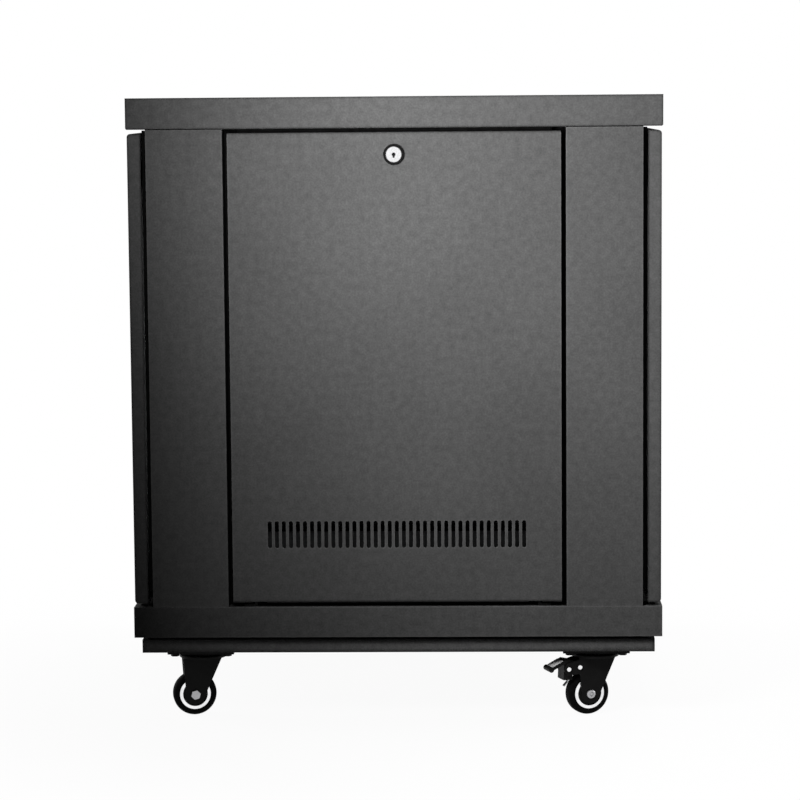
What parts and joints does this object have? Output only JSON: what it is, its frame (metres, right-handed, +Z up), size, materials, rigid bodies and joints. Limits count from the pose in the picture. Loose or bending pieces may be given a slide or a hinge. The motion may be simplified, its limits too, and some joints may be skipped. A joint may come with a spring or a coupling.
{
  "type": "network server rack cabinet",
  "caption": "Low floor-standing 19-inch network cabinet on casters, with a lockable vented rear panel, lift-off sides and a glass front door.",
  "frame": {"origin": "on the floor under the middle of the cabinet", "axes": "+Z up, -Y out of the pictured rear panel, +X to the picture's right"},
  "size_m": [0.6, 0.605, 0.708],
  "materials": {
    "powder_black": "fine-texture black powder coat",
    "caster_black": "satin black",
    "zinc_rail": "zinc-plated",
    "zinc": "bright zinc",
    "chrome": "polished",
    "black_plastic": "satin",
    "tyre": "matt",
    "rim": "satin",
    "smoked_glass": "smoked, polished",
    "brass": "plain"
  },
  "bodies": {
    "cabinet": {"top_cover": "powder_black", "base_frame": "powder_black", "plinth": "powder_black", "rear_left_post": "powder_black", "rear_right_post": "powder_black", "front_left_post": "powder_black", "front_right_post": "powder_black", "left_beams": "powder_black", "right_beams": "powder_black", "front_left_rail": "zinc_rail", "front_right_rail": "zinc_rail", "rear_left_rail": "zinc_rail", "rear_right_rail": "zinc_rail", "rail_bolts": "zinc", "frame_bolts": "caster_black", "caster_screws": "caster_black", "pivot_brackets": "caster_black", "lock_strikes": "powder_black", "earth_stud": "brass", "door_hinge_bushes": "black_plastic", "rear_left_plate": "caster_black", "rear_right_plate": "caster_black", "front_left_plate": "caster_black", "front_right_plate": "caster_black"},
    "back": {"rear_panel": "powder_black", "rear_lock_body": "black_plastic"},
    "back_lock": {"rear_lock_core": "chrome", "rear_lock_cam": "zinc"},
    "left_side": {"left_panel": "powder_black", "left_latch_body": "black_plastic"},
    "left_latch": {"left_latch_core": "chrome"},
    "right_side": {"right_panel": "powder_black", "right_latch_body": "black_plastic"},
    "right_latch": {"right_latch_core": "chrome"},
    "door": {"door_frame": "powder_black", "door_glass": "smoked_glass", "door_hinge_pins": "zinc", "door_lock_body": "black_plastic"},
    "door_lock": {"door_lock_core": "chrome", "door_lock_cam": "zinc"},
    "rear_left_swivel": {"rear_left_fork": "caster_black", "rear_left_axle": "zinc"},
    "rear_left_roll": {"rear_left_wheel": "rim", "rear_left_tyre": "tyre"},
    "rear_right_swivel": {"rear_right_fork": "caster_black", "rear_right_axle": "zinc"},
    "rear_right_roll": {"rear_right_wheel": "rim", "rear_right_tyre": "tyre"},
    "rear_right_brake": {"rear_right_brake_pedal": "caster_black", "rear_right_brake_spring": "zinc"},
    "front_left_swivel": {"front_left_fork": "caster_black", "front_left_axle": "zinc"},
    "front_left_roll": {"front_left_wheel": "rim", "front_left_tyre": "tyre"},
    "front_left_brake": {"front_left_brake_pedal": "caster_black", "front_left_brake_spring": "zinc"},
    "front_right_swivel": {"front_right_fork": "caster_black", "front_right_axle": "zinc"},
    "front_right_roll": {"front_right_wheel": "rim", "front_right_tyre": "tyre"}
  },
  "joints": [
    {"name": "back_tilt", "type": "hinge", "parent": "cabinet", "child": "back", "pos_m": [0, -0.29, 0.1425], "axis": [1, 0, 0], "range_deg": [0, 20]},
    {"name": "back_lock_turn", "type": "hinge", "parent": "back", "child": "back_lock", "pos_m": [0, -0.3, 0.6435], "axis": [0, -1, 0], "range_deg": [0, 90]},
    {"name": "left_side_tilt", "type": "hinge", "parent": "cabinet", "child": "left_side", "pos_m": [-0.2885, -0.014, 0.1425], "axis": [0, -1, 0], "range_deg": [0, 20]},
    {"name": "left_latch_turn", "type": "hinge", "parent": "left_side", "child": "left_latch", "pos_m": [-0.2985, -0.014, 0.6435], "axis": [-1, 0, 0], "range_deg": [0, 90]},
    {"name": "right_side_tilt", "type": "hinge", "parent": "cabinet", "child": "right_side", "pos_m": [0.2885, -0.014, 0.1425], "axis": [0, 1, 0], "range_deg": [0, 20]},
    {"name": "right_latch_turn", "type": "hinge", "parent": "right_side", "child": "right_latch", "pos_m": [0.2985, -0.014, 0.6435], "axis": [1, 0, 0], "range_deg": [0, 90]},
    {"name": "door_swing", "type": "hinge", "parent": "cabinet", "child": "door", "pos_m": [-0.288, 0.29, 0.4025], "axis": [0, 0, 1], "range_deg": [0, 120]},
    {"name": "door_lock_turn", "type": "hinge", "parent": "door", "child": "door_lock", "pos_m": [0.2315, 0.3, 0.4025], "axis": [0, 1, 0], "range_deg": [0, 90]},
    {"name": "rear_left_swivel_turn", "type": "hinge", "parent": "cabinet", "child": "rear_left_swivel", "pos_m": [-0.226, -0.258, 0.068], "axis": [0, 0, 1], "continuous": true},
    {"name": "rear_left_wheel_roll", "type": "hinge", "parent": "rear_left_swivel", "child": "rear_left_roll", "pos_m": [-0.23631, -0.26, 0.025], "axis": [-0.1908, 0.9816, 0], "continuous": true},
    {"name": "rear_right_swivel_turn", "type": "hinge", "parent": "cabinet", "child": "rear_right_swivel", "pos_m": [0.226, -0.258, 0.068], "axis": [0, 0, 1], "continuous": true},
    {"name": "rear_right_wheel_roll", "type": "hinge", "parent": "rear_right_swivel", "child": "rear_right_roll", "pos_m": [0.21613, -0.26159, 0.025], "axis": [-0.342, 0.9397, 0], "continuous": true},
    {"name": "rear_right_brake_press", "type": "hinge", "parent": "rear_right_swivel", "child": "rear_right_brake", "pos_m": [0.19076, -0.27083, 0.0555], "axis": [0.342, -0.9397, 0], "range_deg": [0, 10]},
    {"name": "front_left_swivel_turn", "type": "hinge", "parent": "cabinet", "child": "front_left_swivel", "pos_m": [-0.226, 0.258, 0.068], "axis": [0, 0, 1], "continuous": true},
    {"name": "front_left_wheel_roll", "type": "hinge", "parent": "front_left_swivel", "child": "front_left_roll", "pos_m": [-0.23559, 0.25373, 0.025], "axis": [-0.4067, 0.9135, 0], "continuous": true},
    {"name": "front_left_brake_press", "type": "hinge", "parent": "front_left_swivel", "child": "front_left_brake", "pos_m": [-0.26026, 0.24275, 0.0555], "axis": [0.4067, -0.9135, 0], "range_deg": [0, 10]},
    {"name": "front_right_swivel_turn", "type": "hinge", "parent": "cabinet", "child": "front_right_swivel", "pos_m": [0.226, 0.258, 0.068], "axis": [0, 0, 1], "continuous": true},
    {"name": "front_right_wheel_roll", "type": "hinge", "parent": "front_right_swivel", "child": "front_right_roll", "pos_m": [0.21558, 0.25928, 0.025], "axis": [0.1219, 0.9925, 0], "continuous": true}
  ]
}
